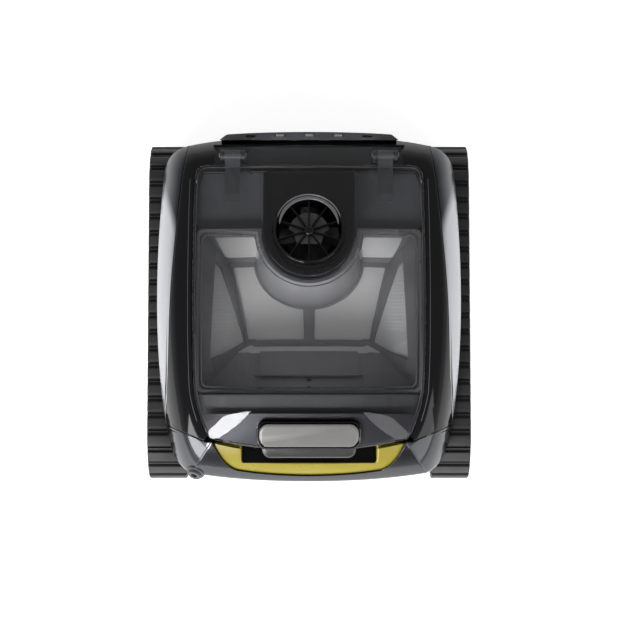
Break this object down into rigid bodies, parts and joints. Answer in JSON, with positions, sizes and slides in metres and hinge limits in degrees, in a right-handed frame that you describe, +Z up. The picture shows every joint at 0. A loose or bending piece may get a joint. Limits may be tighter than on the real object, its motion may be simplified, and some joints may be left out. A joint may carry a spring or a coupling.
{
  "type": "robotic pool cleaner",
  "caption": "Tracked robotic pool cleaner with a hinged smoked lid over its filter basket, a pump with a guarded outlet, roller brushes and a carrying handle.",
  "frame": {"origin": "on the floor under the middle of the machine", "axes": "+Z up, -Y towards the nose with the carrying handle, +X to the machine's left as it drives forwards"},
  "size_m": [0.391, 0.418, 0.2244],
  "materials": {
    "gloss_black": "high gloss moulded, polished",
    "matt_black": "fine moulded texture",
    "silver_paint": "metallic silver lacquer over moulded plastic",
    "gunmetal_paint": "dark metallic lacquer, glossy",
    "yellow_plastic": "satin moulded",
    "track_rubber": "moulded tread, matt",
    "smoked_window": "clear smoked polycarbonate, polished",
    "light_grey": "satin moulded",
    "mid_grey": "satin moulded",
    "dark_grey": "satin moulded",
    "filter_cloth": "fine woven polyester mesh",
    "steel": "turned stainless steel",
    "yellow_brush": "soft moulded PVC"
  },
  "bodies": {
    "root": {"chassis_shell": "matt_black", "rear_grille": "matt_black", "intake_chute": "matt_black", "brush_bearing": "matt_black", "hinge_bracket_right": "matt_black", "hinge_bracket_left": "matt_black", "side_plate_right": "matt_black", "side_plate_left": "matt_black", "bottom_plate": "dark_grey", "cable_gland": "dark_grey", "pump_cover": "dark_grey", "motor_housing": "dark_grey", "drive_motor_right": "dark_grey", "drive_motor_left": "dark_grey", "deck_shell": "gloss_black", "outlet_duct": "gloss_black", "side_cover_right": "silver_paint", "side_cover_left": "silver_paint", "front_fascia": "gunmetal_paint", "carry_handle": "yellow_plastic", "track_right": "track_rubber", "track_left": "track_rubber", "filter_basket": "mid_grey", "filter_mesh": "filter_cloth", "hinge_pin_right": "steel", "hinge_pin_left": "steel", "brush_shaft": "steel", "front_axle_right": "steel", "front_axle_left": "steel", "rear_axle_right": "steel", "rear_axle_left": "steel"},
    "lid": {"lid_window": "smoked_window", "lid_gasket": "track_rubber", "hinge_arm_right": "gloss_black", "hinge_arm_left": "gloss_black", "latch_tray": "dark_grey", "outlet_guard": "gloss_black"},
    "latch": {"latch_button": "light_grey"},
    "rotor": {"propeller": "matt_black", "propeller_shaft": "steel"},
    "flap": {"inlet_flap": "dark_grey"},
    "rear_wheel_right": {"rear_wheel_right": "dark_grey", "rear_wheel_cap_right": "mid_grey"},
    "front_wheel_right": {"front_wheel_right": "dark_grey", "front_wheel_cap_right": "mid_grey"},
    "drive_pinion_right": {"drive_pinion_right": "steel"},
    "brush_right": {"brush_right": "yellow_brush"},
    "rear_wheel_left": {"rear_wheel_left": "dark_grey", "rear_wheel_cap_left": "mid_grey"},
    "front_wheel_left": {"front_wheel_left": "dark_grey", "front_wheel_cap_left": "mid_grey"},
    "drive_pinion_left": {"drive_pinion_left": "steel"},
    "brush_left": {"brush_left": "yellow_brush"}
  },
  "joints": [
    {"name": "lid_hinge", "type": "hinge", "parent": "root", "child": "lid", "pos_m": [0, 0.178, 0.176], "axis": [-1, 0, 0], "range_deg": [0, 80]},
    {"name": "latch_press", "type": "slide", "parent": "lid", "child": "latch", "axis": [0, 0, -1], "range_m": [0, 0.003], "stiffness_N_per_m": 800},
    {"name": "propeller_spin", "type": "hinge", "parent": "root", "child": "rotor", "pos_m": [0, 0.083, 0.158], "axis": [0, 0, 1], "continuous": true},
    {"name": "flap_hinge", "type": "hinge", "parent": "root", "child": "flap", "pos_m": [0, -0.0807, 0.15239], "axis": [1, 0, 0], "range_deg": [0, 50]},
    {"name": "rear_wheel_right_spin", "type": "hinge", "parent": "root", "child": "rear_wheel_right", "pos_m": [0.172, 0.151, 0.058], "axis": [1, 0, 0], "continuous": true},
    {"name": "front_wheel_right_spin", "type": "hinge", "parent": "root", "child": "front_wheel_right", "pos_m": [0.172, -0.145, 0.058], "axis": [1, 0, 0], "continuous": true},
    {"name": "drive_pinion_right_spin", "type": "hinge", "parent": "root", "child": "drive_pinion_right", "pos_m": [0.172, 0.132, 0.058], "axis": [1, 0, 0], "continuous": true},
    {"name": "brush_right_spin", "type": "hinge", "parent": "root", "child": "brush_right", "pos_m": [0.172, -0.158, 0.0315], "axis": [1, 0, 0], "continuous": true},
    {"name": "rear_wheel_left_spin", "type": "hinge", "parent": "root", "child": "rear_wheel_left", "pos_m": [-0.172, 0.151, 0.058], "axis": [1, 0, 0], "continuous": true},
    {"name": "front_wheel_left_spin", "type": "hinge", "parent": "root", "child": "front_wheel_left", "pos_m": [-0.172, -0.145, 0.058], "axis": [1, 0, 0], "continuous": true},
    {"name": "drive_pinion_left_spin", "type": "hinge", "parent": "root", "child": "drive_pinion_left", "pos_m": [-0.172, 0.132, 0.058], "axis": [1, 0, 0], "continuous": true},
    {"name": "brush_left_spin", "type": "hinge", "parent": "root", "child": "brush_left", "pos_m": [-0.172, -0.158, 0.0315], "axis": [1, 0, 0], "continuous": true}
  ],
  "couplings": [
    {"joint": "front_wheel_right_spin", "follows": "rear_wheel_right_spin", "ratio": 1},
    {"joint": "drive_pinion_right_spin", "follows": "rear_wheel_right_spin", "ratio": 3},
    {"joint": "brush_right_spin", "follows": "rear_wheel_right_spin", "ratio": 2},
    {"joint": "front_wheel_left_spin", "follows": "rear_wheel_left_spin", "ratio": 1},
    {"joint": "drive_pinion_left_spin", "follows": "rear_wheel_left_spin", "ratio": 3},
    {"joint": "brush_left_spin", "follows": "rear_wheel_left_spin", "ratio": 2}
  ]
}
